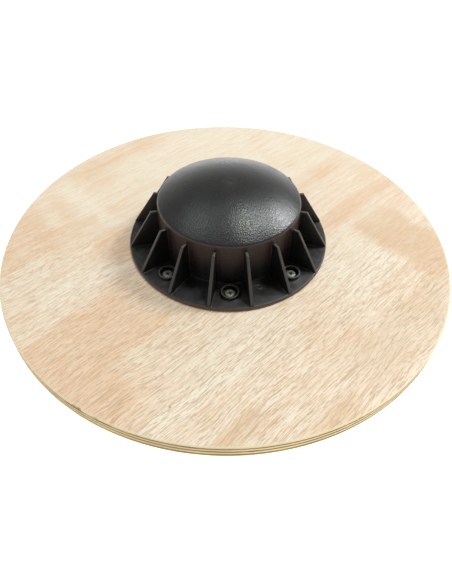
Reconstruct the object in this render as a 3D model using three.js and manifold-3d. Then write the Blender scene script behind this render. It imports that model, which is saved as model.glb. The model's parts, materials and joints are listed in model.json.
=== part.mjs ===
// Round balance board: a plywood disc with a domed rocker foot screwed to its underside.
// It lies the way it is stored, on its standing face, with the foot pointing up.
// Millimetres. +Z is up and runs through the top of the dome. The origin is the centre
// of the standing face. The first screw is on the -Y side.
import * as THREE from "three";
import * as BufferGeometryUtils from "three/addons/utils/BufferGeometryUtils.js";
import Module from "manifold-3d";

const wasm = await Module();
wasm.setup();

// Board: seven plies, listed from the standing face up to the foot side.
const BOARD_RADIUS = 200;
const BOARD_SEGMENTS = 72;
const PLIES = [
  { name: "standing_face_veneer", thickness: 1.4, slot: "face_veneer" },
  { name: "cross_ply_lower", thickness: 2.0, slot: "cross_grain_ply" },
  { name: "long_ply_lower", thickness: 2.2, slot: "long_grain_ply" },
  { name: "cross_ply_middle", thickness: 1.9, slot: "cross_grain_ply" },
  { name: "long_ply_upper", thickness: 1.8, slot: "long_grain_ply" },
  { name: "cross_ply_upper", thickness: 1.8, slot: "cross_grain_ply" },
  { name: "foot_side_veneer", thickness: 0.9, slot: "face_veneer" },
];
const UNDRILLED_PLIES = 1;
const BOARD_THICKNESS = PLIES.reduce((sum, ply) => sum + ply.thickness, 0);

// Rocker foot: flange, drum and dome in one moulding. Heights are above the board.
const ROUND_SEGMENTS = 48;
const FLANGE_RADIUS = 90;
const FLANGE_THICKNESS = 3.5;
const DRUM_RADIUS = 62.5;
const DOME_EDGE_HEIGHT = 43.7;
const DOME_EDGE_FILLET = 2.8;
const DOME_EDGE_FILLET_TURN = THREE.MathUtils.degToRad(60);
const DOME_HEIGHT = 62;
const DOME_STEPS = 8;
const FILLET_STEPS = 2;
const DRUM_WALL = 3;
const DOME_WALL = 4;

// Stiffening inside the foot: radial webs, a ring and a centre tube.
const WEB_COUNT = 8;
const WEB_THICKNESS = 2.4;
const RING_RADIUS = 36;
const TUBE_RADIUS = 12;

// Gussets round the drum, and screw bosses in every second bay between them.
const GUSSET_COUNT = 16;
const GUSSET_THICKNESS = 2.8;
const GUSSET_TOP = { radius: 68.5, height: 40 };
const GUSSET_TOE = { radius: 89.3, height: 4.9 };
const SCREW_COUNT = 8;
const SCREW_CIRCLE_RADIUS = 74;
const BOSS = { outerRadius: 7.75, innerRadius: 6.25, height: 7, floor: 2.6 };
const BOSS_SEGMENTS = 24;

// Pan-head wood screws, 4.2 mm.
const SCREW = { radius: 2.1, tipLength: 3.5, length: 11.8 };
const SCREW_HEAD = { radius: 4.4, height: 2.3, rimHeight: 1, crownRadius: 3.1 };
const SCREW_SEGMENTS = 16;
const CLEARANCE = 0.3;
const CUT_OVERLAP = 1;
const MERGE_DISTANCE = 1e-4;

const FRONT = -Math.PI / 2;
const SCREW_STEP = (2 * Math.PI) / SCREW_COUNT;
const GUSSET_STEP = (2 * Math.PI) / GUSSET_COUNT;

const MATERIALS = {
  face_veneer: { color: 0xe4cfae, roughness: 0.6, metalness: 0 },
  long_grain_ply: { color: 0xd8c49c, roughness: 0.75, metalness: 0 },
  cross_grain_ply: { color: 0x9a7f58, roughness: 0.85, metalness: 0 },
  black_plastic: { color: 0x17181a, roughness: 0.4, metalness: 0 },
  zinc_screw: { color: 0x8c8f88, roughness: 0.35, metalness: 1 },
};

const part = new THREE.Group();

function addPiece(name, slot, geometry) {
  const mesh = new THREE.Mesh(geometry, new THREE.MeshStandardMaterial(MATERIALS[slot]));
  mesh.name = name;
  part.add(mesh);
}

// A solid turned about +Z from [radius, height] points, listed from the bottom outwards and up.
function turned(points, segments) {
  const profile = points.map(([radius, height]) => new THREE.Vector2(radius, height));
  return new THREE.LatheGeometry(profile, segments).rotateX(Math.PI / 2);
}

function disc(radius, bottom, top, segments) {
  return turned([[0, bottom], [radius, bottom], [radius, top], [0, top]], segments);
}

function ring(innerRadius, outerRadius, bottom, top, segments) {
  const corners = [
    [innerRadius, bottom], [outerRadius, bottom], [outerRadius, top], [innerRadius, top],
    [innerRadius, bottom],
  ];
  return turned(corners, segments);
}

// A solid for cutting and joining, without the lathe's flat triangles on the axis.
function solid(geometry) {
  const bare = geometry.clone();
  bare.deleteAttribute("normal");
  bare.deleteAttribute("uv");
  const merged = BufferGeometryUtils.mergeVertices(bare, MERGE_DISTANCE);
  const corners = merged.index.array;
  const triangles = [];
  for (let first = 0; first < corners.length; first += 3) {
    const [a, b, c] = corners.slice(first, first + 3);
    if (a !== b && b !== c && c !== a) {
      triangles.push(a, b, c);
    }
  }
  return new wasm.Manifold(new wasm.Mesh({
    numProp: 3,
    vertProperties: Float32Array.from(merged.attributes.position.array),
    triVerts: Uint32Array.from(triangles),
  }));
}

function fromSolid(body) {
  const mesh = body.getMesh();
  const geometry = new THREE.BufferGeometry();
  geometry.setAttribute("position", new THREE.BufferAttribute(mesh.vertProperties, 3));
  geometry.setIndex(new THREE.BufferAttribute(mesh.triVerts, 1));
  return geometry;
}

function atScrew(geometry, index) {
  const angle = FRONT + index * SCREW_STEP;
  const x = SCREW_CIRCLE_RADIUS * Math.cos(angle);
  const y = SCREW_CIRCLE_RADIUS * Math.sin(angle);
  return geometry.translate(x, y, 0);
}

// A flat plate standing on a radius: an outline in [radius, height], centred on the angle.
function radialPlate(outline, thickness, angle) {
  const shape = new THREE.Shape(outline.map(([radius, height]) => new THREE.Vector2(radius, height)));
  const plate = new THREE.ExtrudeGeometry(shape, { depth: thickness, bevelEnabled: false });
  return plate.translate(0, 0, -thickness / 2).rotateX(Math.PI / 2).rotateZ(angle);
}

// Dome points from its edge to its top, for a dome of this edge radius and edge and top heights.
function domeArc(edgeRadius, edgeHeight, topHeight) {
  const rise = topHeight - edgeHeight;
  const sphereRadius = (edgeRadius ** 2 + rise ** 2) / (2 * rise);
  const edgeAngle = Math.asin(edgeRadius / sphereRadius);
  const points = [];
  for (let step = 0; step <= DOME_STEPS; step += 1) {
    const angle = edgeAngle * (1 - step / DOME_STEPS);
    const drop = sphereRadius * (1 - Math.cos(angle));
    points.push([sphereRadius * Math.sin(angle), topHeight - drop]);
  }
  points[DOME_STEPS][0] = 0;
  return points;
}

function filletArc(edgeRadius, edgeHeight, fillet, turn) {
  const points = [];
  for (let step = 0; step < FILLET_STEPS; step += 1) {
    const angle = (turn * step) / FILLET_STEPS;
    const inset = fillet * (1 - Math.cos(angle));
    points.push([edgeRadius - inset, edgeHeight + fillet * Math.sin(angle)]);
  }
  return points;
}

function buildPlies() {
  let bottom = 0;
  PLIES.forEach((ply, index) => {
    const top = bottom + ply.thickness;
    let body = solid(disc(BOARD_RADIUS, bottom, top, BOARD_SEGMENTS));
    if (index >= UNDRILLED_PLIES) {
      for (let screw = 0; screw < SCREW_COUNT; screw += 1) {
        const radius = SCREW.radius + CLEARANCE;
        const drill = disc(radius, bottom - CUT_OVERLAP, top + CUT_OVERLAP, SCREW_SEGMENTS);
        body = body.subtract(solid(atScrew(drill, screw)));
      }
    }
    addPiece(ply.name, ply.slot, fromSolid(body));
    bottom = top;
  });
}

function footShell() {
  const base = BOARD_THICKNESS;
  const edge = base + DOME_EDGE_HEIGHT;
  const domeRadius = DRUM_RADIUS - DOME_EDGE_FILLET * (1 - Math.cos(DOME_EDGE_FILLET_TURN));
  const domeEdge = edge + DOME_EDGE_FILLET * Math.sin(DOME_EDGE_FILLET_TURN);
  const outside = [
    [0, base],
    [FLANGE_RADIUS, base],
    [FLANGE_RADIUS, base + FLANGE_THICKNESS],
    [DRUM_RADIUS, base + FLANGE_THICKNESS],
    ...filletArc(DRUM_RADIUS, edge, DOME_EDGE_FILLET, DOME_EDGE_FILLET_TURN),
    ...domeArc(domeRadius, domeEdge, base + DOME_HEIGHT),
  ];
  const hollowRadius = DRUM_RADIUS - DRUM_WALL;
  const hollow = [
    [0, base - CUT_OVERLAP],
    [hollowRadius, base - CUT_OVERLAP],
    ...domeArc(hollowRadius, edge, base + DOME_HEIGHT - DOME_WALL),
  ];
  const filled = solid(turned(outside, ROUND_SEGMENTS));
  return { filled, shell: filled.subtract(solid(turned(hollow, ROUND_SEGMENTS))) };
}

// The webs, ring and tube stop at the board and merge into the inside of the dome.
function footStiffening(filled) {
  const base = BOARD_THICKNESS;
  const top = base + DOME_HEIGHT;
  const half = WEB_THICKNESS / 2;
  const reach = DRUM_RADIUS - DRUM_WALL + CUT_OVERLAP;
  const outline = [[TUBE_RADIUS, base], [reach, base], [reach, top], [TUBE_RADIUS, top]];
  let webs = solid(ring(TUBE_RADIUS - half, TUBE_RADIUS + half, base, top, ROUND_SEGMENTS / 2));
  webs = webs.add(solid(ring(RING_RADIUS - half, RING_RADIUS + half, base, top, ROUND_SEGMENTS)));
  for (let web = 0; web < WEB_COUNT; web += 1) {
    const angle = FRONT + (web * 2 * Math.PI) / WEB_COUNT;
    webs = webs.add(solid(radialPlate(outline, WEB_THICKNESS, angle)));
  }
  return webs.intersect(filled);
}

function gusset(index) {
  const base = BOARD_THICKNESS;
  const root = DRUM_RADIUS - DRUM_WALL / 2;
  const foot = base + FLANGE_THICKNESS / 2;
  const outline = [
    [root, foot],
    [GUSSET_TOE.radius, foot],
    [GUSSET_TOE.radius, base + GUSSET_TOE.height],
    [GUSSET_TOP.radius, base + GUSSET_TOP.height],
    [root, base + GUSSET_TOP.height],
  ];
  return solid(radialPlate(outline, GUSSET_THICKNESS, FRONT + (index + 0.5) * GUSSET_STEP));
}

function buildFoot() {
  const base = BOARD_THICKNESS;
  const { filled, shell } = footShell();
  let foot = shell.add(footStiffening(filled));
  for (let index = 0; index < GUSSET_COUNT; index += 1) {
    foot = foot.add(gusset(index));
  }
  for (let index = 0; index < SCREW_COUNT; index += 1) {
    const boss = disc(BOSS.outerRadius, base + CUT_OVERLAP, base + BOSS.height, BOSS_SEGMENTS);
    const recess = disc(BOSS.innerRadius, base + BOSS.floor, base + BOSS.height + CUT_OVERLAP,
      BOSS_SEGMENTS);
    const hole = disc(SCREW.radius + CLEARANCE, base - CUT_OVERLAP, base + BOSS.height,
      SCREW_SEGMENTS);
    foot = foot.add(solid(atScrew(boss, index)));
    foot = foot.subtract(solid(atScrew(recess, index)));
    foot = foot.subtract(solid(atScrew(hole, index)));
  }
  addPiece("rocker_foot", "black_plastic", fromSolid(foot));
}

function buildScrews() {
  const seat = BOARD_THICKNESS + BOSS.floor;
  const tip = seat - SCREW.length;
  const profile = [
    [0, tip],
    [SCREW.radius, tip + SCREW.tipLength],
    [SCREW.radius, seat],
    [SCREW_HEAD.radius, seat],
    [SCREW_HEAD.radius, seat + SCREW_HEAD.rimHeight],
    [SCREW_HEAD.crownRadius, seat + SCREW_HEAD.height],
    [0, seat + SCREW_HEAD.height],
  ];
  for (let index = 0; index < SCREW_COUNT; index += 1) {
    addPiece(`screw_${index + 1}`, "zinc_screw", atScrew(turned(profile, SCREW_SEGMENTS), index));
  }
}

buildPlies();
buildFoot();
buildScrews();

export default part;
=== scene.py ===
"""Looks for a round plywood balance board that lies with its domed rocker foot up.

Shapes are worked out in millimetres in the CAD frame and stored in metres. The CAD nodes
are replaced one for one by finer pieces: seven plies, the moulded foot and eight screws.
"""
import json
import math

import bmesh
import bpy
from mathutils import Matrix, Vector, noise


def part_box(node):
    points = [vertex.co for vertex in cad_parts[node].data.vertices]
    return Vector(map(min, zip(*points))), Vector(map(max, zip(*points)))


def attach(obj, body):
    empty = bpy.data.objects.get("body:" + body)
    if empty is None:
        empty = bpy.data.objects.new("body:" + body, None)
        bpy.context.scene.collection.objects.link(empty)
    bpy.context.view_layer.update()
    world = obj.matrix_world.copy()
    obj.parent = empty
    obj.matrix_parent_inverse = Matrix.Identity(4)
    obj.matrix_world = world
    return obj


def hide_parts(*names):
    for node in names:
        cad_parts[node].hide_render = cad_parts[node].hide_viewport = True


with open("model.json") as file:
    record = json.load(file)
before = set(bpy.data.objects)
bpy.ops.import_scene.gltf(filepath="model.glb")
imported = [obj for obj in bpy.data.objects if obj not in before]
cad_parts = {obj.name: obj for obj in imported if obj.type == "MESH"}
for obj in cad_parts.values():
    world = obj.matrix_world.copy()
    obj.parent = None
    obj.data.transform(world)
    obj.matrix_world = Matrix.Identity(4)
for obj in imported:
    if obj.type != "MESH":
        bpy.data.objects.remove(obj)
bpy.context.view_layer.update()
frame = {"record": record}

MM = 0.001
FRONT = math.radians(-90)

# Board. The plies' names run from the standing face up to the foot side.
PLIES = [
    "standing_face_veneer", "cross_ply_lower", "long_ply_lower", "cross_ply_middle",
    "long_ply_upper", "cross_ply_upper", "foot_side_veneer",
]
UNDRILLED_PLIES = 1
BOARD_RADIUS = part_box("foot_side_veneer")[1].x / MM
BOARD_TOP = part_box("foot_side_veneer")[1].z / MM
RIM_STEPS = 288
GRAIN_ANGLE = math.radians(42.5)
EASED_DEPTH = 0.75
EASED_WIDTH = 1.3
GLUE_GROOVE = 0.07
RIM_BAND = 4.0
HOLE_STEPS = 24
# How deep the saw left the rim rough, and how fast that changes around it.
END_GRAIN_ROUGHNESS, LONG_GRAIN_ROUGHNESS = 0.10, 0.05
RIM_NOISE_RADIUS = 90
# Small core voids at the rim: ply, azimuth and half-width in degrees, depth in mm.
VOIDS = [
    ("cross_ply_upper", -122.4, 1.5, 2.4),
    ("cross_ply_upper", -115.5, 1.9, 1.3),
    ("cross_ply_middle", -86.5, 0.8, 0.9),
    ("cross_ply_lower", 24.0, 1.1, 1.2),
    ("cross_ply_upper", 97.0, 1.4, 1.0),
    ("cross_ply_middle", 171.0, 0.9, 1.1),
]

# Rocker foot, heights above the board. The gussets and bosses start inside the flange, and
# the webs and rings end inside the wall.
FOOT_STEPS = 192
ROOT_HEIGHT = 1.5
WALL_OVERLAP = 1.0
FLANGE_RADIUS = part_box("rocker_foot")[1].x / MM
FLANGE_THICKNESS = 3.5
FLANGE_FOOT_ROUND = 0.4
FLANGE_RIM_ROUND = 1.1
DRUM_RADIUS = 62.5
DOME_EDGE_HEIGHT = 43.7
DOME_EDGE_FILLET = 2.8
DOME_FILLET_TURN = 60
DOME_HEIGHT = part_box("rocker_foot")[1].z / MM - BOARD_TOP
DRUM_WALL = 3.0
DOME_WALL = 4.0
ROOT_FILLET = 0.5
# The mark of the moulding gate on the top: its sink, and the radius and depth of its rings.
GATE_MARK_RADIUS = 1.7
GATE_SINK = 0.02
GATE_RINGS = [(1.5, 0.10), (1.1, 0.14), (0.7, 0.10), (0.5, 0.02)]
WEB_COUNT = 8
WEB_THICKNESS = 2.4
WEB_STEPS = 10
RING_STEPS = 96
RING_RADIUS = 36.0
TUBE_RADIUS = 12.0
GUSSET_COUNT = 16
GUSSET_FOOT_THICKNESS = 3.1
GUSSET_TIP_THICKNESS = 2.5
GUSSET_TOP = (68.5, 40.0)
GUSSET_TOE = (89.3, 4.9)
GUSSET_ROUND = 0.7
# The mould mark: its place on the flange, and its open ring in millimetres and degrees.
MARK_ANGLE = FRONT + math.radians(20)
MARK_REACH = 70.9
MARK_RADIUS, MARK_HALF_WIDTH = 2.4, 0.5
MARK_START, MARK_SWEEP = 60, 285
MARK_STEPS, MARK_SIDES = 24, 10

# Screws and their bosses.
SCREW_COUNT = 8
SCREW_CIRCLE = 74.0
BOSS_OUTER = 7.75
BOSS_INNER = 6.25
BOSS_HEIGHT = 7.0
BOSS_FLOOR = 2.6
BOSS_RIM_ROUND, BOSS_FLOOR_ROUND, BOSS_MOUTH_ROUND = 0.5, 0.3, 0.4
BOSS_STEPS = 48
CUT_CLEARANCE = 1.0
SCREW_RADIUS = 2.1
SCREW_HOLE = 2.4
SCREW_CORE = 1.5
SCREW_PITCH = 1.6
SCREW_LENGTH = 11.8
SCREW_TIP = 3.5
SCREW_STEPS, SHANK_RINGS = 40, 64
THREAD_STOP = 0.9
THREAD_HALF_WIDTH = 0.32
HEAD_RADIUS = 4.4
HEAD_HEIGHT = 2.3
# The recess's bars at its bottom and just above the head: height, half-length, half-width.
RECESS_LOW = (HEAD_HEIGHT - 1.7, 1.2, 0.5)
RECESS_HIGH = (HEAD_HEIGHT + 0.3, 2.7, 0.78)
# How far each screw was turned, in degrees.
FIRST_SCREW_TURN, NEXT_SCREW_TURN = 12, 67

# Linear colours of the veneer, the plies' edges, the plastic, the zinc and the floor.
CREAM, TAN = (0.74, 0.632, 0.495, 1), (0.705, 0.492, 0.327, 1)
# The silvery pale also carries the face veneer's painted light and sheen.
SILVERY_AND_PAINTED_LIGHT, SHADED = (0.83, 0.755, 0.655, 1), (0.56, 0.40, 0.25, 1)
PORE, SANDED, KNOT = (0.44, 0.29, 0.165, 1), (0.74, 0.64, 0.42, 1), (0.17, 0.10, 0.035, 1)
PALE, BROWN = (0.82, 0.67, 0.37, 1), (0.56, 0.42, 0.21, 1)
DUSK, UMBER = (0.34, 0.235, 0.105, 1), (0.12, 0.068, 0.026, 1)
# The void colour is painted shade in the rim's core voids.
SPECK, VOID_SHADE = (0.24, 0.17, 0.09, 1), (0.06, 0.042, 0.02, 1)
WALL_BLACK, DOME_BLACK = (0.0028, 0.0028, 0.0028, 1), (0.0085, 0.009, 0.0095, 1)
MIST, DUST, BLUSH = (0.013, 0.013, 0.013, 1), (0.019, 0.019, 0.018, 1), (0.018, 0.018, 0.018, 1)
# Both browns are painted reflections of the wood: on the drum's wall and on the flange's side.
DRUM_WALL_REFLECTION, FLANGE_SIDE_REFLECTION = (0.015, 0.0038, 0.0028, 1), (0.16, 0.052, 0.024, 1)
# Both greys are painted highlights: on the gussets' edges, and on the rims and the mould mark.
GUSSET_HIGHLIGHT_GREY, RIM_HIGHLIGHT_GREY = (0.030, 0.024, 0.023, 1), (0.055, 0.053, 0.050, 1)
ZINC_DARK, ZINC_LIGHT = (0.22, 0.225, 0.19, 1), (0.33, 0.335, 0.29, 1)
# Painted shade on the screw heads' sides and in their cross.
HEAD_SHADE = (0.02, 0.02, 0.017, 1)
FLOOR_DARK, FLOOR_LIGHT = (0.93, 0.93, 0.93, 1), (0.95, 0.95, 0.95, 1)


# ---------------------------------------------------------------- meshes

def link(name, mesh):
    piece = bpy.data.objects.new(name, mesh)
    bpy.context.scene.collection.objects.link(piece)
    return piece


def piece_from(bm, name):
    """An object in metres from a bmesh in millimetres."""
    bmesh.ops.scale(bm, vec=(MM, MM, MM), verts=bm.verts)
    mesh = bpy.data.meshes.new(name)
    bm.to_mesh(mesh)
    bm.free()
    return link(name, mesh)


def bridge(bm, lower, upper, smooth=True):
    count = len(lower)
    for i in range(count):
        j = (i + 1) % count
        face = bm.faces.new((lower[i], lower[j], upper[j], upper[i]))
        face.smooth = smooth


def circle(bm, radius, height, steps, centre=(0.0, 0.0), change=None):
    ring = []
    for step in range(steps):
        angle = 2 * math.pi * step / steps
        r = radius - (change(angle, height) if change else 0.0)
        x, y = centre[0] + r * math.cos(angle), centre[1] + r * math.sin(angle)
        ring.append(bm.verts.new((x, y, height)))
    return ring


def turn(bm, profile, steps, centre=(0.0, 0.0), change=None):
    """Adds a solid turned from (radius, height) points, which run outwards and up.

    The profile starts and ends on the axis, or closes on itself.
    """
    rings = []
    for radius, height in profile:
        if radius < 1e-6:
            rings.append([bm.verts.new((centre[0], centre[1], height))])
        else:
            rings.append(circle(bm, radius, height, steps, centre, change))
    pairs = list(zip(rings, rings[1:]))
    if len(rings[0]) > 1:
        pairs.append((rings[-1], rings[0]))
    for lower, upper in pairs:
        if len(lower) > 1 and len(upper) > 1:
            bridge(bm, lower, upper)
            continue
        for i in range(steps):
            j = (i + 1) % steps
            if len(lower) == 1:
                corners = (lower[0], upper[j], upper[i])
            else:
                corners = (lower[i], lower[j], upper[0])
            bm.faces.new(corners).smooth = True


def arc(centre, radius, start, end, steps):
    """Points on a circle in (radius, height), with its angles in degrees from outwards to up."""
    points = []
    for step in range(steps + 1):
        angle = math.radians(start + (end - start) * step / steps)
        points.append((centre[0] + radius * math.cos(angle), centre[1] + radius * math.sin(angle)))
    return points


def combine(piece, tool, operation):
    """Joins or cuts piece with tool, and removes tool."""
    modifier = piece.modifiers.new("combine", "BOOLEAN")
    modifier.object = tool
    modifier.operation = operation
    modifier.solver = "EXACT"
    depsgraph = bpy.context.evaluated_depsgraph_get()
    old, spare = piece.data, tool.data
    piece.data = bpy.data.meshes.new_from_object(piece.evaluated_get(depsgraph))
    piece.modifiers.clear()
    bpy.data.objects.remove(tool)
    bpy.data.meshes.remove(old)
    bpy.data.meshes.remove(spare)


def soften(piece, angle):
    """Smooth shading, with edges sharper than angle kept crisp."""
    piece.data.polygons.foreach_set("use_smooth", [True] * len(piece.data.polygons))
    piece.data.set_sharp_from_angle(angle=math.radians(angle))


def screw_place(index):
    angle = FRONT + index * 2 * math.pi / SCREW_COUNT
    return SCREW_CIRCLE * math.cos(angle), SCREW_CIRCLE * math.sin(angle)


# ---------------------------------------------------------------- board

def rim_wear(name, bottom, top):
    """How far the rim of a ply lies inside the board's radius, at an angle and a height."""
    rough = END_GRAIN_ROUGHNESS if name.startswith("cross") else LONG_GRAIN_ROUGHNESS
    seed = PLIES.index(name) * 7.3
    voids = [v[1:] for v in VOIDS if v[0] == name]

    def inset(angle, height):
        x, y = RIM_NOISE_RADIUS * math.cos(angle), RIM_NOISE_RADIUS * math.sin(angle)
        depth = rough * (0.5 + 0.5 * noise.noise(Vector((x, y, seed + height * 2))))
        share = (height - bottom) / (top - bottom)
        for azimuth, half, deep in voids:
            away = (math.degrees(angle) - azimuth + 180) % 360 - 180
            if abs(away) < half and 0.05 < share < 0.95:
                depth += deep * math.cos(away / half * math.pi / 2) ** 0.5
        return max(0.0, depth)

    return inset


def rim_profile(name, bottom, top):
    """The rim of a ply in (radius, height), from its lower face to its upper face."""
    face = BOARD_RADIUS - RIM_BAND
    edge = BOARD_RADIUS
    points = [(face, bottom)]
    if name == PLIES[0]:
        centre = (edge - EASED_WIDTH, bottom + EASED_DEPTH)
        eased = arc((0, 0), 1.0, -90, 0, 6)
        points += [(centre[0] + x * EASED_WIDTH, centre[1] + y * EASED_DEPTH) for x, y in eased]
    else:
        points += [(edge - GLUE_GROOVE, bottom), (edge, bottom + GLUE_GROOVE)]
    points += [(edge, bottom + (top - bottom) * share) for share in (0.3, 0.5, 0.7)
               if bottom + (top - bottom) * share > points[-1][1] + 0.01]
    if name == PLIES[-1]:
        centre = (edge - EASED_WIDTH, top - EASED_DEPTH)
        eased = arc((0, 0), 1.0, 0, 90, 6)
        points = [p for p in points if p[1] < centre[1]]
        points += [(centre[0] + x * EASED_WIDTH, centre[1] + y * EASED_DEPTH) for x, y in eased]
    else:
        points += [(edge, top - GLUE_GROOVE), (edge - GLUE_GROOVE, top)]
    return points + [(face, top)]


def make_ply(name, drilled):
    low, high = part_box(name)
    bottom, top = low.z / MM, high.z / MM
    bm = bmesh.new()
    inset = rim_wear(name, bottom, top)
    rings = [circle(bm, r, z, RIM_STEPS, change=inset) for r, z in rim_profile(name, bottom, top)]
    for lower, upper in zip(rings, rings[1:]):
        bridge(bm, lower, upper)
    loops = {bottom: [rings[0]], top: [rings[-1]]}
    for index in range(SCREW_COUNT if drilled else 0):
        walls = [circle(bm, SCREW_HOLE, z, HOLE_STEPS, screw_place(index)) for z in (bottom, top)]
        bridge(bm, walls[1], walls[0])
        loops[bottom].append(walls[0])
        loops[top].append(walls[1])
    for level in loops.values():
        edges = [bm.edges.get((ring[i - 1], ring[i])) for ring in level for i in range(len(ring))]
        filled = bmesh.ops.triangle_fill(bm, use_beauty=True, edges=edges)
        for item in filled["geom"]:
            if isinstance(item, bmesh.types.BMFace):
                item.smooth = False
    bmesh.ops.recalc_face_normals(bm, faces=bm.faces)
    piece = piece_from(bm, name + "_fine")
    piece.data.set_sharp_from_angle(angle=math.radians(50))
    return piece


# ---------------------------------------------------------------- foot

def dome_shape(edge_radius, edge_height, top_height):
    """(sphere radius, centre height) of a dome with this edge and top."""
    rise = top_height - edge_height
    sphere = (edge_radius ** 2 + rise ** 2) / (2 * rise)
    return sphere, top_height - sphere


def foot_profile():
    """The foot's wall in (radius, height above the board), outside up and inside down."""
    drop = math.cos(math.radians(DOME_FILLET_TURN))
    lift = math.sin(math.radians(DOME_FILLET_TURN))
    edge_radius = DRUM_RADIUS - DOME_EDGE_FILLET * (1 - drop)
    edge_height = DOME_EDGE_HEIGHT + DOME_EDGE_FILLET * lift
    sphere, centre = dome_shape(edge_radius, edge_height, DOME_HEIGHT)
    edge_angle = math.degrees(math.acos(edge_radius / sphere))
    gate_angle = math.degrees(math.acos(GATE_MARK_RADIUS / sphere))
    inner = DRUM_RADIUS - DRUM_WALL
    hollow, hollow_centre = dome_shape(inner, DOME_EDGE_HEIGHT, DOME_HEIGHT - DOME_WALL)
    hollow_angle = math.degrees(math.acos(inner / hollow))

    foot_round, rim_round = FLANGE_FOOT_ROUND, FLANGE_RIM_ROUND
    outside = arc((FLANGE_RADIUS - foot_round, foot_round), foot_round, -90, 0, 3)
    outside += arc((FLANGE_RADIUS - rim_round, FLANGE_THICKNESS - rim_round), rim_round, 0, 90, 5)
    outside += [(80.0, FLANGE_THICKNESS), (70.0, FLANGE_THICKNESS)]
    root = (DRUM_RADIUS + ROOT_FILLET, FLANGE_THICKNESS + ROOT_FILLET)
    outside += arc(root, ROOT_FILLET, 270, 180, 4)
    outside += [(DRUM_RADIUS, height) for height in (12.0, 20.0, 28.0, 36.0, 41.0)]
    outside += arc((DRUM_RADIUS - DOME_EDGE_FILLET, DOME_EDGE_HEIGHT), DOME_EDGE_FILLET,
                   0, DOME_FILLET_TURN, 7)
    outside += arc((0, centre), sphere, edge_angle, gate_angle, 44)[1:]
    gate = DOME_HEIGHT - GATE_SINK
    outside += [(radius, gate - depth) for radius, depth in GATE_RINGS] + [(0.0, gate)]
    inside = [(0.0, DOME_HEIGHT - DOME_WALL)]
    inside += arc((0, hollow_centre), hollow, 90, hollow_angle, 16)[1:]
    inside += [(inner, 20.0), (inner, 0.5), (inner + 0.5, 0.0)]
    return [(r, z + BOARD_TOP) for r, z in inside + outside]


def fillet_flare(distance, radius):
    """How far a fillet reaches out at this distance from the surface it runs into."""
    gap = min(max(distance, 0.0), radius)
    return radius - math.sqrt(radius ** 2 - (radius - gap) ** 2)


def gusset_edge(height):
    """The radius of a gusset's free edge at a height."""
    (top_radius, top_height), (toe_radius, toe_height) = GUSSET_TOP, GUSSET_TOE
    share = min(max((height - toe_height) / (top_height - toe_height), 0.0), 1.0)
    return toe_radius + (top_radius - toe_radius) * share


def gusset_half(radius, height):
    """Half the gusset's thickness: thinner at the top, flared at its roots, round at its edge."""
    (top_radius, top_height), (toe_radius, toe_height) = GUSSET_TOP, GUSSET_TOE
    taper = (GUSSET_FOOT_THICKNESS - GUSSET_TIP_THICKNESS) * height / top_height
    half = (GUSSET_FOOT_THICKNESS - taper) / 2
    half += fillet_flare(height - FLANGE_THICKNESS, ROOT_FILLET)
    half += fillet_flare(radius - DRUM_RADIUS, ROOT_FILLET)
    slope = math.hypot(toe_radius - top_radius, top_height - toe_height)
    across = (gusset_edge(height) - radius) * (top_height - toe_height) / slope
    away = min(top_height - height, max(across, 0.0))
    if away < GUSSET_ROUND:
        half -= GUSSET_ROUND - math.sqrt(GUSSET_ROUND ** 2 - (GUSSET_ROUND - away) ** 2)
    return half


def add_gusset(bm, angle):
    root = DRUM_RADIUS - DRUM_WALL / 2
    heights = [ROOT_HEIGHT] + [FLANGE_THICKNESS + rise for rise in (0, 0.1, 0.3, 0.6, 1.0)]
    heights += [GUSSET_TOE[1], 7, *range(11, 36, 4), 38]
    heights += [GUSSET_TOP[1] - gap for gap in (0.9, 0.5, 0.2, 0.06, 0.0)]
    gaps = (0.0, 0.06, 0.22, 0.5, 0.9)
    out = Vector((math.cos(angle), math.sin(angle), 0))
    across = Vector((-math.sin(angle), math.cos(angle), 0))
    sides = []
    for side in (-1, 1):
        grid = []
        for height in heights:
            edge = gusset_edge(height)
            radii = [root, DRUM_RADIUS, DRUM_RADIUS + 0.15, DRUM_RADIUS + 0.4, DRUM_RADIUS + 0.9]
            inner, outer = radii[-1], edge - gaps[-1]
            radii += [inner + (outer - inner) * share for share in (0.25, 0.5, 0.75)]
            radii += [edge - gap for gap in reversed(gaps)]
            row = []
            for radius in radii:
                place = out * radius + across * side * gusset_half(radius, height)
                row.append(bm.verts.new((place.x, place.y, height + BOARD_TOP)))
            grid.append(row)
        sides.append(grid)
    for side, grid in zip((-1, 1), sides):
        for row, above in zip(grid, grid[1:]):
            for i in range(len(row) - 1):
                corners = (row[i], row[i + 1], above[i + 1], above[i])
                bm.faces.new(corners if side < 0 else corners[::-1])
    near, far = sides
    rim = [near[0], near[-1][::-1], [row[-1] for row in near], [row[0] for row in near][::-1]]
    rim_far = [far[0], far[-1][::-1], [row[-1] for row in far], [row[0] for row in far][::-1]]
    for one, other in zip(rim, rim_far):
        for i in range(len(one) - 1):
            bm.faces.new((one[i + 1], one[i], other[i], other[i + 1]))


def make_gussets():
    bm = bmesh.new()
    for index in range(GUSSET_COUNT):
        add_gusset(bm, FRONT + (index + 0.5) * 2 * math.pi / GUSSET_COUNT)
    bmesh.ops.recalc_face_normals(bm, faces=bm.faces)
    return piece_from(bm, "gussets")


def turned_at_screws(profile, name):
    """The same turned solid at every screw."""
    bm = bmesh.new()
    for index in range(SCREW_COUNT):
        turn(bm, [(r, z + BOARD_TOP) for r, z in profile], BOSS_STEPS, screw_place(index))
    return piece_from(bm, name)


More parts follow.
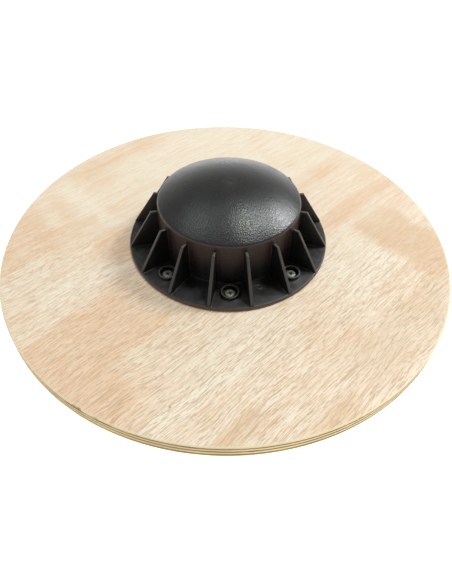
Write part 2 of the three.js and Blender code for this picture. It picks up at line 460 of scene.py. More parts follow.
def make_bosses():
    flare = BOSS_OUTER + ROOT_FILLET
    rim = BOSS_RIM_ROUND
    profile = [(0.0, ROOT_HEIGHT), (flare, ROOT_HEIGHT), (flare, FLANGE_THICKNESS)]
    profile += arc((flare, FLANGE_THICKNESS + ROOT_FILLET), ROOT_FILLET, 270, 180, 4)[1:]
    profile += arc((BOSS_OUTER - rim, BOSS_HEIGHT - rim), rim, 0, 90, 4) + [(0.0, BOSS_HEIGHT)]
    return turned_at_screws(profile, "bosses")


def make_boss_cutters():
    low, high = -CUT_CLEARANCE, BOSS_HEIGHT + CUT_CLEARANCE
    floor, mouth = BOSS_FLOOR_ROUND, BOSS_MOUTH_ROUND
    profile = [(0.0, low), (SCREW_HOLE, low), (SCREW_HOLE, BOSS_FLOOR)]
    profile += arc((BOSS_INNER - floor, BOSS_FLOOR + floor), floor, -90, 0, 3)
    profile += arc((BOSS_INNER + mouth, BOSS_HEIGHT - mouth), mouth, 180, 90, 4)
    profile += [(BOSS_INNER + mouth, high), (0.0, high)]
    return turned_at_screws(profile, "boss_cutters")


def make_webs():
    """Radial plates from the centre tube to the drum, which end inside the dome's wall."""
    inner = DRUM_RADIUS - DRUM_WALL
    hollow, centre = dome_shape(inner, DOME_EDGE_HEIGHT, DOME_HEIGHT - DOME_WALL)
    span = inner + WALL_OVERLAP - TUBE_RADIUS
    radii = [TUBE_RADIUS + span * step / WEB_STEPS for step in range(WEB_STEPS + 1)]
    tops = [centre + math.sqrt(hollow ** 2 - min(r, inner) ** 2) + WALL_OVERLAP for r in radii]
    bm = bmesh.new()
    for index in range(WEB_COUNT):
        angle = FRONT + index * 2 * math.pi / WEB_COUNT
        turn_matrix = Matrix.Rotation(angle, 3, "Z")
        sides = []
        for half in (-WEB_THICKNESS / 2, WEB_THICKNESS / 2):
            outline = [(r, half, BOARD_TOP) for r in radii]
            outline += [(r, half, z + BOARD_TOP) for r, z in zip(radii[::-1], tops[::-1])]
            sides.append([bm.verts.new(turn_matrix @ Vector(p)) for p in outline])
        bridge(bm, sides[0], sides[1], smooth=False)
        bm.faces.new(sides[0][::-1])
        bm.faces.new(sides[1])
    bmesh.ops.recalc_face_normals(bm, faces=bm.faces)
    return piece_from(bm, "webs")


def make_inner_rings():
    inner = DRUM_RADIUS - DRUM_WALL
    hollow, centre = dome_shape(inner, DOME_EDGE_HEIGHT, DOME_HEIGHT - DOME_WALL)
    bm = bmesh.new()
    for radius in (TUBE_RADIUS, RING_RADIUS):
        top = centre + math.sqrt(hollow ** 2 - radius ** 2) + 2 * WALL_OVERLAP + BOARD_TOP
        low, high = radius - WEB_THICKNESS / 2, radius + WEB_THICKNESS / 2
        turn(bm, [(low, BOARD_TOP), (high, BOARD_TOP), (high, top), (low, top)], RING_STEPS)
    return piece_from(bm, "inner_rings")


def mould_mark_centre():
    out = Vector((math.cos(MARK_ANGLE), math.sin(MARK_ANGLE), 0))
    return out * MARK_REACH + Vector((0, 0, BOARD_TOP + FLANGE_THICKNESS))


def make_mould_mark():
    """A small open ring left by the mould, raised on the flange beside the first screw."""
    centre = mould_mark_centre()
    bm = bmesh.new()
    rings = []
    for step in range(MARK_STEPS + 1):
        sweep = math.radians(MARK_START + MARK_SWEEP * step / MARK_STEPS)
        out = Vector((math.cos(sweep), math.sin(sweep), 0))
        ring = []
        for part in range(MARK_SIDES):
            around = 2 * math.pi * part / MARK_SIDES
            rise = Vector((0, 0, MARK_HALF_WIDTH * math.sin(around)))
            place = centre + out * (MARK_RADIUS + MARK_HALF_WIDTH * math.cos(around)) + rise
            ring.append(bm.verts.new(place))
        rings.append(ring)
    for one, other in zip(rings, rings[1:]):
        bridge(bm, one, other)
    bm.faces.new(rings[0][::-1])
    bm.faces.new(rings[-1])
    bmesh.ops.recalc_face_normals(bm, faces=bm.faces)
    return piece_from(bm, "mould_mark")


def make_foot():
    bm = bmesh.new()
    turn(bm, foot_profile(), FOOT_STEPS)
    bmesh.ops.recalc_face_normals(bm, faces=bm.faces)
    foot = piece_from(bm, "rocker_foot_fine")
    webs = make_webs()
    combine(webs, make_inner_rings(), "UNION")
    combine(foot, webs, "UNION")
    combine(foot, make_gussets(), "UNION")
    combine(foot, make_bosses(), "UNION")
    combine(foot, make_boss_cutters(), "DIFFERENCE")
    combine(foot, make_mould_mark(), "UNION")
    soften(foot, 38)
    return foot


# ---------------------------------------------------------------- screws

def screw_profile():
    """The screw in (radius, height above its seat), from the tip to the top of the head."""
    points = [(0.0, -SCREW_LENGTH)]
    for step in range(1, SHANK_RINGS):
        below = SCREW_LENGTH * (1 - step / SHANK_RINGS)
        points.append((SCREW_CORE * min(1.0, (SCREW_LENGTH - below) / SCREW_TIP), -below))
    crown = [(4.2, 0.0), (4.37, 0.15), (HEAD_RADIUS, 0.4), (4.38, 0.85), (4.25, 1.3), (3.95, 1.7),
             (3.5, 2.0), (2.9, 2.17), (2.1, 2.25), (1.0, 2.29), (0.0, HEAD_HEIGHT)]
    return points + [(SCREW_RADIUS, 0.0)] + crown


def thread_change(angle, height):
    """Grows the core out to the thread's crest along a helix, and fades it in at the tip."""
    if height > -THREAD_STOP:
        return 0.0
    phase = (height / SCREW_PITCH - angle / (2 * math.pi)) % 1.0
    crest = max(0.0, 1 - abs(phase - 0.5) / THREAD_HALF_WIDTH)
    grown = min(1.0, (height + SCREW_LENGTH) / SCREW_TIP)
    return -(SCREW_RADIUS - SCREW_CORE) * crest * grown


def make_recess():
    """The cross-shaped driver: two tapered bars that cross."""
    bars = []
    for turned in (0, 90):
        bm = bmesh.new()
        corners = []
        for height, length, width in (RECESS_LOW, RECESS_HIGH):
            corners.append([bm.verts.new((x * length, y * width, height))
                            for x, y in ((-1, -1), (1, -1), (1, 1), (-1, 1))])
        bridge(bm, corners[0], corners[1], smooth=False)
        bm.faces.new(corners[0][::-1])
        bm.faces.new(corners[1])
        bmesh.ops.rotate(bm, verts=bm.verts, matrix=Matrix.Rotation(math.radians(turned), 3, "Z"))
        bars.append(piece_from(bm, "driver_bar"))
    combine(bars[0], bars[1], "UNION")
    return bars[0]


def make_screws():
    bm = bmesh.new()
    turn(bm, screw_profile(), SCREW_STEPS, change=thread_change)
    bmesh.ops.recalc_face_normals(bm, faces=bm.faces)
    first = piece_from(bm, "screw_pattern")
    combine(first, make_recess(), "DIFFERENCE")
    soften(first, 40)
    seat = BOARD_TOP + BOSS_FLOOR
    screws = []
    for index in range(SCREW_COUNT):
        x, y = screw_place(index)
        mesh = first.data.copy()
        place = Matrix.Translation(Vector((x, y, seat)) * MM)
        turned = math.radians(FIRST_SCREW_TURN + NEXT_SCREW_TURN * index)
        mesh.transform(place @ Matrix.Rotation(turned, 4, "Z"))
        screws.append(link(f"screw_fine_{index + 1}", mesh))
    bpy.data.objects.remove(first)
    return screws


# ---------------------------------------------------------------- materials

def new_material(name, **settings):
    """A material and its shader, with the shader's own sockets set."""
    material = bpy.data.materials.new(name)
    material.use_nodes = True
    tree = material.node_tree
    shader = tree.nodes["Principled BSDF"]
    for key, value in settings.items():
        shader.inputs[key.replace("_", " ")].default_value = value
    return material, tree, shader


def node(tree, kind, inputs=None, **settings):
    """A shader node, with values or other nodes' outputs given to its inputs."""
    made = tree.nodes.new("ShaderNode" + kind)
    for key, value in settings.items():
        setattr(made, key, value)
    for key, value in (inputs or {}).items():
        if isinstance(value, bpy.types.NodeSocket):
            tree.links.new(value, made.inputs[key])
        else:
            made.inputs[key].default_value = value
    return made


def maths(tree, operation, first, second=0.0):
    return node(tree, "Math", {0: first, 1: second}, operation=operation).outputs[0]


def blend(tree, factor, first, second, kind="MIX"):
    """Mixes two colours by factor."""
    mix = node(tree, "Mix", data_type="RGBA", blend_type=kind)
    colours = [socket for socket in mix.inputs if socket.type == "RGBA"]
    for socket, value in zip([mix.inputs["Factor"], *colours], (factor, first, second)):
        if isinstance(value, bpy.types.NodeSocket):
            tree.links.new(value, socket)
        else:
            socket.default_value = value
    return next(socket for socket in mix.outputs if socket.type == "RGBA")


def remap(tree, value, low, high, to_low=0.0, to_high=1.0, smooth=True):
    inputs = {"Value": value, "From Min": low, "From Max": high, "To Min": to_low,
              "To Max": to_high}
    kind = "SMOOTHSTEP" if smooth else "LINEAR"
    return node(tree, "MapRange", inputs, interpolation_type=kind).outputs["Result"]


def stretched_noise(tree, place, size, detail=2.0, shift=0.0, roughness=0.5):
    """Noise whose features measure about size, three lengths in millimetres."""
    scale = [1 / (length * MM) for length in size]
    mapped = node(tree, "Mapping", {"Vector": place, "Scale": scale,
                                    "Location": (shift, shift * 0.7, shift * 0.3)})
    inputs = {"Vector": mapped.outputs[0], "Scale": 1.0, "Detail": detail, "Roughness": roughness}
    return node(tree, "TexNoise", inputs).outputs["Fac"]


def from_axis(tree, place):
    """(place without its height, its distance from the vertical axis, its height)."""
    split = node(tree, "SeparateXYZ", {"Vector": place}).outputs
    flat = node(tree, "CombineXYZ", {"X": split["X"], "Y": split["Y"]}).outputs[0]
    reach = node(tree, "VectorMath", {0: flat}, operation="LENGTH").outputs["Value"]
    return flat, reach, split["Z"]


def emboss(tree, shader, height, strength, distance):
    """Bumps on the shader, with their distance in millimetres."""
    inputs = {"Height": height, "Strength": strength, "Distance": distance * MM}
    tree.links.new(node(tree, "Bump", inputs).outputs[0], shader.inputs["Normal"])


# The veneer's figure runs right through it: its noise hardly changes along this length.
THROUGH = 400
# How far the grain sways and shakes, and how ragged its zones' borders are, in millimetres.
GRAIN_SWAY, GRAIN_SHAKE, ZONE_RAGGEDNESS = 14, 3, 16


def grain_coordinates(tree):
    """Object coordinates turned so that X runs along the face veneer's grain, gently waved."""
    place = node(tree, "TexCoord").outputs["Object"]
    turned = node(tree, "Mapping", {"Vector": place, "Rotation": (0, 0, -GRAIN_ANGLE)}).outputs[0]
    wave = stretched_noise(tree, turned, (95, 38, THROUGH), 1.5, 3.1)
    ripple = stretched_noise(tree, turned, (26, 14, THROUGH), 1.0, 8.7)
    sway = maths(tree, "MULTIPLY", maths(tree, "SUBTRACT", wave, 0.5), GRAIN_SWAY * MM)
    shake = maths(tree, "MULTIPLY", maths(tree, "SUBTRACT", ripple, 0.5), GRAIN_SHAKE * MM)
    offset = node(tree, "CombineXYZ", {"Y": maths(tree, "ADD", sway, shake)}).outputs[0]
    waved = node(tree, "VectorMath", {0: turned, 1: offset}, operation="ADD").outputs[0]
    return turned, waved


# Soft zones on the face veneer, in millimetres in the grain's frame: centre along
# and across, half-length, half-width, softness along and across, warmth and lightness.
# Most are the veneer's figure. Three are painted light: a painted warm shade and a painted
# warm, lighter shade where the foot's shadow falls on its left, and a painted pale sheen of
# the lacquer towards the back.
FIGURE_AND_PAINTED_LIGHT = [
    (-156, -14, 50, 27, 18, 10, 0.70, -0.15),
    (-178, -60, 20, 26, 14, 12, 0.65, -0.15),
    (-140, 128, 40, 30, 22, 16, 0.45, -0.15),
    (-15, -122, 20, 40, 12, 18, 0.35, -0.05),
    (122, -118, 26, 46, 8, 12, 0.62, -0.75),
    (140, -50, 60, 7, 22, 5, 0.45, -0.15),
    (60, -52, 70, 4, 26, 4, 0.30, -0.10),
    (90, 4, 80, 5, 26, 5, 0.35, -0.10),
    (0, 178, 60, 14, 30, 8, 0.45, -0.15),
    # Painted warm shade where the foot's shadow falls, left of the foot.
    (-80, 56, 15, 20, 8, 9, 0.90, 0.0),
    (-128, 40, 30, 12, 20, 9, -0.55, 0.55),
    (-72, 125, 4, 42, 9, 18, -0.50, 0.60),
    (-107, 140, 4, 18, 7, 12, -0.40, 0.45),
    (-110, -104, 74, 6, 30, 6, -0.45, 0.55),
    (-30, -84, 60, 3, 20, 4, -0.30, 0.40),
    (56, -100, 32, 26, 14, 12, -0.45, 0.35),
    (35, -174, 60, 20, 20, 8, 0.10, -0.65),
    (-127, -143, 22, 8, 12, 7, 0.65, -0.55),
    (-80, -182, 25, 8, 12, 8, 0.55, -0.50),
    # Painted warm, lighter shade where the foot's shadow falls, left of the foot.
    (-104, 18, 14, 34, 9, 12, 0.60, 0.90),
    (128, -82, 20, 8, 10, 6, -0.40, 0.20),
    (-162, 36, 16, 14, 10, 8, -0.20, 0.30),
    (-60, -92, 66, 18, 24, 10, -0.35, -0.10),
    # Painted pale sheen of the lacquer towards the back.
    (110, 110, 120, 70, 40, 30, -0.30, 0.50),
    (120, 24, 60, 4, 26, 4, -0.20, 0.25),
    (110, -18, 70, 4, 26, 4, -0.25, 0.30),
]
# Small dark knots in the face veneer: x, y and radius in millimetres, and strength.
KNOTS = [
    (-104.2, -173.4, 4.0, 0.90),
    (-107.6, -171.2, 4.0, 0.60),
    (-91.6, -180.7, 4.2, 0.45),
    (-42, -171, 1.2, 0.45),
]


def figure_and_painted_light(tree, turned):
    """(warmth, lightness) of the listed zones, with ragged borders."""
    ragged = stretched_noise(tree, turned, (36, 14, THROUGH), 2.0, 5.5)
    shift = maths(tree, "MULTIPLY", maths(tree, "SUBTRACT", ragged, 0.5), ZONE_RAGGEDNESS * MM)
    split = node(tree, "SeparateXYZ", {"Vector": turned})
    along = maths(tree, "ADD", split.outputs["X"], shift)
    across = maths(tree, "ADD", split.outputs["Y"], shift)
    warmth = lightness = None
    for centre_x, centre_y, long, wide, soft_x, soft_y, warm, light in FIGURE_AND_PAINTED_LIGHT:
        masks = []
        spans = ((along, centre_x, long, soft_x), (across, centre_y, wide, soft_y))
        for value, centre, half, soft in spans:
            away = maths(tree, "ABSOLUTE", maths(tree, "SUBTRACT", value, centre * MM))
            masks.append(remap(tree, away, (half + soft) * MM, max(0.0, half - soft) * MM))
        mask = maths(tree, "MULTIPLY", *masks)
        warm_part = maths(tree, "MULTIPLY", mask, warm)
        light_part = maths(tree, "MULTIPLY", mask, light)
        warmth = maths(tree, "ADD", warmth, warm_part) if warmth else warm_part
        lightness = maths(tree, "ADD", lightness, light_part) if lightness else light_part
    return warmth, lightness


def face_veneer_material():
    """Pale open-pored veneer: warm and cream bands, silvery streaks, fine pores, thin lacquer,
    painted shade and sheen.
    """
    material, tree, shader = new_material("face_veneer_wood", IOR=1.46, Coat_Weight=0.25,
                                          Coat_Roughness=0.40)
    turned, waved = grain_coordinates(tree)
    # The zones add the figure, a painted warm shade where the foot's shadow falls, and a painted
    # pale sheen of the lacquer towards the back.
    zone_warmth_and_painted_shade, zone_lightness_and_painted_light = figure_and_painted_light(tree, turned)

    bands = stretched_noise(tree, waved, (190, 24, THROUGH), 2.0, 1.3)
    streaks = stretched_noise(tree, waved, (130, 5.0, THROUGH), 2.5, 2.9, 0.55)
    fibres = stretched_noise(tree, waved, (20, 0.75, THROUGH), 2.0, 7.7, 0.6)
    hairs = stretched_noise(tree, waved, (6.5, 0.55, THROUGH), 2.0, 4.4, 0.6)
    mottle = stretched_noise(tree, turned, (26, 34, THROUGH), 2.0, 6.1)

    warmth = maths(tree, "ADD", remap(tree, bands, 0.36, 0.66, 0.12, 0.45), zone_warmth_and_painted_shade)
    warmth = maths(tree, "ADD", warmth, remap(tree, mottle, 0.35, 0.7, -0.12, 0.18))
    warmth = maths(tree, "ADD", warmth, remap(tree, streaks, 0.35, 0.65, -0.14, 0.16))
    base = blend(tree, warmth, CREAM, TAN)

    light = maths(tree, "ADD", remap(tree, streaks, 0.62, 0.38, -0.1, 0.3), zone_lightness_and_painted_light)
    light = maths(tree, "ADD", light, remap(tree, fibres, 0.60, 0.36, -0.5, 0.9))
    # Lightness, with the zones' painted light and sheen, blends towards the silvery pale.
    base = blend(tree, maths(tree, "MULTIPLY", light, 0.34), base, SILVERY_AND_PAINTED_LIGHT)
    shaded = remap(tree, zone_lightness_and_painted_light, 0.0, -1.0, 0.0, 0.45, smooth=False)
    base = blend(tree, shaded, base, SHADED)

    pores = remap(tree, fibres, 0.52, 0.66)
    dots = remap(tree, hairs, 0.53, 0.64)
    frame_place = node(tree, "SeparateXYZ", {"Vector": turned}).outputs
    lined = remap(tree, frame_place["Y"], -20 * MM, -90 * MM, 0.40, 0.70)
    dark = maths(tree, "MAXIMUM", maths(tree, "MULTIPLY", pores, lined),
                 maths(tree, "MULTIPLY", dots, 0.75))
    diagonal = maths(tree, "ADD", frame_place["X"], frame_place["Y"])
    dark = maths(tree, "MULTIPLY", dark, remap(tree, diagonal, 90 * MM, -110 * MM, 0.30, 1.0))
    base = blend(tree, dark, base, PORE)

    flat, reach, _ = from_axis(tree, node(tree, "TexCoord").outputs["Object"])
    edge = (BOARD_RADIUS - EASED_WIDTH) * MM
    sanded = remap(tree, reach, edge - 0.3 * MM, edge + 0.3 * MM, 0.0, 0.75)
    base = blend(tree, sanded, base, SANDED)
    for x, y, radius, strength in KNOTS:
        away = node(tree, "VectorMath", {0: flat, 1: (x * MM, y * MM, 0)}, operation="DISTANCE")
        away = maths(tree, "ADD", away.outputs["Value"], maths(tree, "MULTIPLY", hairs, 0.8 * MM))
        knot = remap(tree, away, (radius + 0.4) * MM, (radius * 0.6 + 0.4) * MM, 0.0, strength)
        base = blend(tree, knot, base, KNOT)
    tree.links.new(base, shader.inputs["Base Color"])

    gloss = remap(tree, fibres, 0.35, 0.7, 0.46, 0.62)
    tree.links.new(gloss, shader.inputs["Roughness"])
    emboss(tree, shader, maths(tree, "SUBTRACT", 1.0, dark), 0.25, 0.12)
    return material


def ply_edge_material(name, grain, light_colour, dark_colour):
    """The sawn edge of a ply: pale where it runs along its grain, darker on its end grain, with
    painted shade in its voids.
    """
    material, tree, shader = new_material(name, Roughness=0.72, IOR=1.45)
    place = node(tree, "TexCoord").outputs["Object"]
    flat, reach, _ = from_axis(tree, place)
    outward = node(tree, "VectorMath", {0: flat}, operation="NORMALIZE").outputs["Vector"]
    direction = (math.cos(grain), math.sin(grain), 0)
    facing = node(tree, "VectorMath", {0: outward, 1: direction}, operation="DOT_PRODUCT")
    end_grain = maths(tree, "POWER", maths(tree, "ABSOLUTE", facing.outputs["Value"]), 1.4)
    lines = stretched_noise(tree, place, (16, 16, 0.7), 3.0, 2.2, 0.6)
    specks = stretched_noise(tree, place, (0.7, 0.7, 0.9), 2.0, 9.1, 0.6)
    patches = stretched_noise(tree, place, (42, 42, 30), 2.0, 4.8)
    shade = maths(tree, "ADD", maths(tree, "MULTIPLY", end_grain, 0.75),
                  remap(tree, patches, 0.35, 0.65, -0.16, 0.22))
    shade = maths(tree, "ADD", shade, remap(tree, lines, 0.38, 0.64, -0.14, 0.26))
    base = blend(tree, shade, light_colour, dark_colour)
    base = blend(tree, remap(tree, specks, 0.58, 0.72, 0.0, 0.45), base, SPECK)
    # Painted shade: from 0.2 mm inside the rim, in the core voids and the screw holes, the edge
    # darkens to the void colour.
    void_shade = remap(tree, reach, (BOARD_RADIUS - 0.2) * MM, (BOARD_RADIUS - 0.8) * MM, 0.0, 0.9)
    base = blend(tree, void_shade, base, VOID_SHADE)
    tree.links.new(base, shader.inputs["Base Color"])
    emboss(tree, shader, lines, 0.4, 0.15)
    return material


def plastic_material():
    """Black moulded plastic: a pebbled, glossier dome, satin walls, edges painted paler as
    highlights, and painted brown reflections of the wood.
    """
    material, tree, shader = new_material("black_moulded_plastic", IOR=1.52)
    place = node(tree, "TexCoord").outputs["Object"]
    _, reach, height = from_axis(tree, place)
    facing = node(tree, "NewGeometry").outputs["True Normal"]
    upward = node(tree, "SeparateXYZ", {"Vector": facing}).outputs["Z"]
    edge = BOARD_TOP + DOME_EDGE_HEIGHT
    dome = remap(tree, height, (edge + 0.6) * MM, (edge + 2.4) * MM)

    pebbles = node(tree, "TexVoronoi", {"Vector": place, "Scale": 1 / (1.1 * MM),
                                        "Randomness": 1.0}, feature="F1").outputs["Distance"]
    fine = stretched_noise(tree, place, (0.8, 0.8, 0.8), 2.0, 1.7)
    flow = stretched_noise(tree, place, (22, 22, 22), 3.0, 5.2)
    streak = stretched_noise(tree, place, (7, 7, 30), 2.0, 3.6)

    # The gussets' sloping edges, the bosses' rims, the flange's rim and the mould mark's raised
    # ring are painted paler: painted highlights.
    (top_radius, top_height), (toe_radius, toe_height) = GUSSET_TOP, GUSSET_TOE
    slope = (toe_radius - top_radius) / (top_height - toe_height)
    start = top_radius + slope * (top_height + BOARD_TOP)
    line = maths(tree, "ADD", reach, maths(tree, "MULTIPLY", height, slope))
    gusset_edge_highlight = remap(tree, line, (start - 1.0) * MM, (start - 0.35) * MM)
    gusset_edge_highlight = maths(tree, "MULTIPLY", gusset_edge_highlight, remap(tree, upward, 0.2, 0.45))
    above = remap(tree, height, (BOARD_TOP + 6.3) * MM, (BOARD_TOP + 6.7) * MM)
    boss_rim_highlight = maths(tree, "MULTIPLY", above, remap(tree, upward, 0.5, 0.8))
    outside = remap(tree, reach, (DRUM_RADIUS + 1.0) * MM, (DRUM_RADIUS + 1.5) * MM)
    boss_rim_highlight = maths(tree, "MULTIPLY", boss_rim_highlight, outside)
    flange_rim_highlight = remap(tree, reach, (FLANGE_RADIUS - 0.8) * MM, (FLANGE_RADIUS - 0.3) * MM)
    flange_rim_highlight = maths(tree, "MULTIPLY", flange_rim_highlight, remap(tree, upward, 0.1, 0.4))
    flange_top = BOARD_TOP + FLANGE_THICKNESS
    away = node(tree, "VectorMath", {0: place, 1: mould_mark_centre() * MM}, operation="DISTANCE")
    near = remap(tree, away.outputs["Value"], 3.8 * MM, 3.4 * MM)
    raised = remap(tree, height, (flange_top + 0.1) * MM, (flange_top + 0.3) * MM)
    mark = maths(tree, "MULTIPLY", near, raised)
    rim_highlights = maths(tree, "MAXIMUM", maths(tree, "MAXIMUM", boss_rim_highlight, mark), flange_rim_highlight)

    # The upper part of the drum's wall and the flange's side are painted browner: painted
    # reflections of the wood.
    wall = maths(tree, "ABSOLUTE", maths(tree, "SUBTRACT", reach, DRUM_RADIUS * MM))
    wall = remap(tree, wall, 1.2 * MM, 0.4 * MM)
    wall = maths(tree, "MULTIPLY", wall, remap(tree, height, 26 * MM, 46 * MM))
    side = remap(tree, reach, (FLANGE_RADIUS - 0.6) * MM, (FLANGE_RADIUS - 0.2) * MM)
    low = remap(tree, height, (BOARD_TOP + 2.4) * MM, (BOARD_TOP + 1.6) * MM)
    side = maths(tree, "MULTIPLY", side, low)

    colour = blend(tree, dome, WALL_BLACK, DOME_BLACK)
    mist = maths(tree, "MULTIPLY", remap(tree, flow, 0.4, 0.7, 0.0, 0.35), dome)
    colour = blend(tree, mist, colour, MIST)
    dust = stretched_noise(tree, place, (5.5, 5.5, 5.5), 3.0, 8.8, 0.65)
    dust = maths(tree, "MULTIPLY", remap(tree, dust, 0.42, 0.68), remap(tree, upward, 0.7, 0.95))
    lying = maths(tree, "SUBTRACT", 1.0, dome)
    colour = blend(tree, maths(tree, "MULTIPLY", dust, lying), colour, DUST)
    blush = remap(tree, reach, 8.5 * MM, 5.5 * MM)
    blush = maths(tree, "MULTIPLY", blush, remap(tree, fine, 0.3, 0.7, 0.35, 1.0))
    colour = blend(tree, maths(tree, "MULTIPLY", blush, dome), colour, BLUSH)
    # Painted brown reflections of the wood on the drum's wall and the flange's side.
    colour = blend(tree, wall, colour, DRUM_WALL_REFLECTION)
    colour = blend(tree, side, colour, FLANGE_SIDE_REFLECTION)
    # Painted highlights on the gussets' edges, the rims and the mould mark.
    colour = blend(tree, gusset_edge_highlight, colour, GUSSET_HIGHLIGHT_GREY)
    colour = blend(tree, rim_highlights, colour, RIM_HIGHLIGHT_GREY)
    tree.links.new(colour, shader.inputs["Base Color"])

    wall_gloss = remap(tree, streak, 0.3, 0.7, 0.36, 0.50)
    dome_gloss = remap(tree, flow, 0.3, 0.7, 0.27, 0.32)
    gloss = node(tree, "Mix", {"Factor": dome, 2: wall_gloss, 3: dome_gloss}, data_type="FLOAT")
    tree.links.new(gloss.outputs[0], shader.inputs["Roughness"])

    coarse = maths(tree, "MULTIPLY", pebbles, 0.8)
    grain = maths(tree, "ADD", coarse, maths(tree, "MULTIPLY", fine, 0.5))
    depth = remap(tree, dome, 0.0, 1.0, 0.1, 1.0, smooth=False)
    emboss(tree, shader, grain, depth, 0.15)
    return material


def zinc_material():
    """Dull zinc plate over steel, slightly mottled, with painted shade low on the head and in its
    cross.
    """
    material, tree, shader = new_material("zinc_plate", Metallic=0.35)
    place = node(tree, "TexCoord").outputs["Object"]
    cloud = stretched_noise(tree, place, (1.6, 1.6, 1.6), 3.0, 2.4)
    colour = blend(tree, cloud, ZINC_DARK, ZINC_LIGHT)
    height = node(tree, "SeparateXYZ", {"Vector": place}).outputs["Z"]
    crown = (BOARD_TOP + BOSS_FLOOR + HEAD_HEIGHT) * MM
    # Painted shade: the head darkens below its crown, on its sides and in its cross.
    head_shade = remap(tree, height, crown - 0.45 * MM, crown - 1.0 * MM, 0.0, 0.85)
    colour = blend(tree, head_shade, colour, HEAD_SHADE)
    tree.links.new(colour, shader.inputs["Base Color"])
    tree.links.new(remap(tree, cloud, 0.3, 0.7, 0.46, 0.58), shader.inputs["Roughness"])
    emboss(tree, shader, cloud, 0.12, 0.1)
    return material


def floor_material():
    material, tree, shader = new_material("pale_floor", Roughness=0.9, Emission_Strength=0.7,
                                          Emission_Color=(1.0, 1.0, 1.0, 1))
    place = node(tree, "TexCoord").outputs["Object"]
    tone = stretched_noise(tree, place, (300, 300, 300), 2.0)
    colour = blend(tree, tone, FLOOR_DARK, FLOOR_LIGHT)
    tree.links.new(colour, shader.inputs["Base Color"])
    return material


# ---------------------------------------------------------------- scene

def show(piece, node_name, slot, *materials):
    """The piece takes its materials and stands for a CAD node."""
    for material in materials:
        piece.data.materials.append(material)
    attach(piece, "root")
    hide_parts(node_name)


def slot_of(node_name):
    subparts = frame["record"]["subparts"]
    return next(part["material_slot"] for part in subparts if part["node"] == node_name)


def build_board():
    face = face_veneer_material()
    cross_grain = GRAIN_ANGLE + math.radians(90)
    long_edge = ply_edge_material("long_ply_edge", GRAIN_ANGLE, PALE, BROWN)
    cross_edge = ply_edge_material("cross_ply_edge", cross_grain, DUSK, UMBER)
    for index, name in enumerate(PLIES):
        ply = make_ply(name, index >= UNDRILLED_PLIES)
        slot = slot_of(name)
        if slot == "face_veneer":
            show(ply, name, slot, face, long_edge)
            for polygon in ply.data.polygons:
                polygon.material_index = int(abs(polygon.normal.z) < 0.35)
        else:
            show(ply, name, slot, cross_edge if slot == "cross_grain_ply" else long_edge)


def build_foot():
    show(make_foot(), "rocker_foot", slot_of("rocker_foot"), plastic_material())


def build_screws():
    zinc = zinc_material()
    for index, screw in enumerate(make_screws()):
        name = f"screw_{index + 1}"
        show(screw, name, slot_of(name), zinc)


FLOOR_RADIUS, FLOOR_HEIGHT = 60000, -0.3


def build_floor():
    bm = bmesh.new()
    bmesh.ops.create_circle(bm, cap_ends=True, segments=64, radius=FLOOR_RADIUS)
    bmesh.ops.translate(bm, verts=bm.verts, vec=(0, 0, FLOOR_HEIGHT))
    floor = piece_from(bm, "floor")
    floor.data.materials.append(floor_material())


# The camera's place around the origin, and its turn from facing the origin, in degrees and
# millimetres, then its lens.
CAMERA_AZIMUTH, CAMERA_ELEVATION, CAMERA_DISTANCE = -1.5, 43.56, 456.35
CAMERA_PAN, CAMERA_TILT, CAMERA_ROLL = -1.38, -0.55, -1.09
CAMERA_LENS, CAMERA_SENSOR, CAMERA_SHIFT = 29.56, 36, (-0.0240, -0.0719)


def spherical(azimuth, elevation):
    """A unit vector, with azimuth 0 towards -Y and 90 towards +X, in degrees."""
    a, e = math.radians(azimuth), math.radians(elevation)
    return Vector((math.sin(a) * math.cos(e), -math.cos(a) * math.cos(e), math.sin(e)))


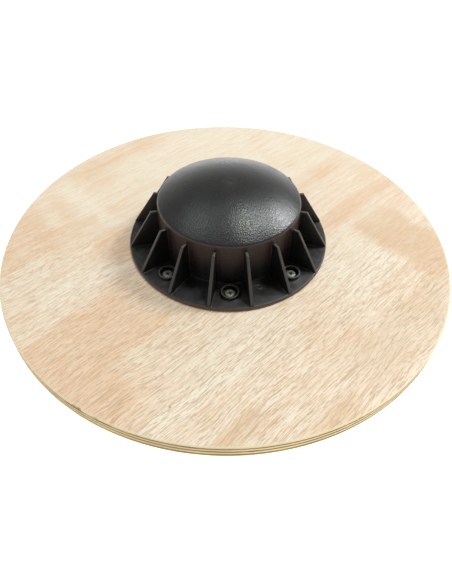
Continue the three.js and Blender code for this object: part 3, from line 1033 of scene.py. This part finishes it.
def build_camera():
    back = spherical(CAMERA_AZIMUTH, CAMERA_ELEVATION)
    forward = -back
    right = forward.cross(Vector((0, 0, 1))).normalized()
    up = right.cross(forward)
    pan = Matrix.Rotation(math.radians(CAMERA_PAN), 3, up)
    forward, right = pan @ forward, pan @ right
    tilt = Matrix.Rotation(math.radians(CAMERA_TILT), 3, right)
    forward, up = tilt @ forward, tilt @ up
    roll = Matrix.Rotation(math.radians(CAMERA_ROLL), 3, forward)
    right, up = roll @ right, roll @ up
    data = bpy.data.cameras.new("camera")
    data.lens = CAMERA_LENS
    data.sensor_width = CAMERA_SENSOR
    data.shift_x, data.shift_y = CAMERA_SHIFT
    camera = bpy.data.objects.new("camera", data)
    bpy.context.scene.collection.objects.link(camera)
    turned = Matrix((right, up, -forward)).transposed().to_4x4()
    camera.matrix_world = Matrix.Translation(back * CAMERA_DISTANCE * MM) @ turned
    bpy.context.scene.camera = camera


# Soft lights: name, azimuth and elevation, distance and side in metres, power, colour.
LIGHTS = [
    ("window", 119, 42, 4.6, 0.88, 124, (0.97, 0.99, 1.0)),
    ("ceiling_right", 122, 70, 4.0, 0.70, 60, (0.93, 1.0, 0.95)),
    ("ceiling_left", 243, 65, 4.0, 0.76, 16, (0.90, 0.97, 1.0)),
]
# The studio's walls are brightest at the horizon, and fade between two sines of elevation.
HORIZON_STRENGTH, ZENITH_STRENGTH = 1.0, 0.40
HORIZON_COLOUR, ZENITH_COLOUR = (1.0, 0.995, 0.985, 1), (1.0, 0.965, 0.92, 1)
FADE_FROM, FADE_TO = 0.05, 0.50


def build_lights():
    for name, azimuth, elevation, distance, side, power, colour in LIGHTS:
        data = bpy.data.lights.new(name, "AREA")
        data.size = side
        data.energy = power
        data.color = colour
        light = bpy.data.objects.new(name, data)
        bpy.context.scene.collection.objects.link(light)
        towards = spherical(azimuth, elevation)
        light.location = towards * distance
        light.rotation_euler = towards.to_track_quat("Z", "Y").to_euler()
    world = bpy.data.worlds.new("studio")
    bpy.context.scene.world = world
    world.use_nodes = True
    background = world.node_tree.nodes["Background"]
    tree = world.node_tree
    sky = node(tree, "TexCoord").outputs["Generated"]
    rise = node(tree, "SeparateXYZ", {"Vector": sky}).outputs["Z"]
    strength = remap(tree, rise, FADE_FROM, FADE_TO, HORIZON_STRENGTH, ZENITH_STRENGTH)
    tree.links.new(strength, background.inputs["Strength"])
    high = remap(tree, rise, FADE_FROM, FADE_TO)
    colour = blend(tree, high, HORIZON_COLOUR, ZENITH_COLOUR)
    tree.links.new(colour, background.inputs["Color"])
    bpy.context.scene.view_settings.view_transform = "Standard"


build_board()
build_foot()
build_screws()
build_floor()
build_lights()
build_camera()
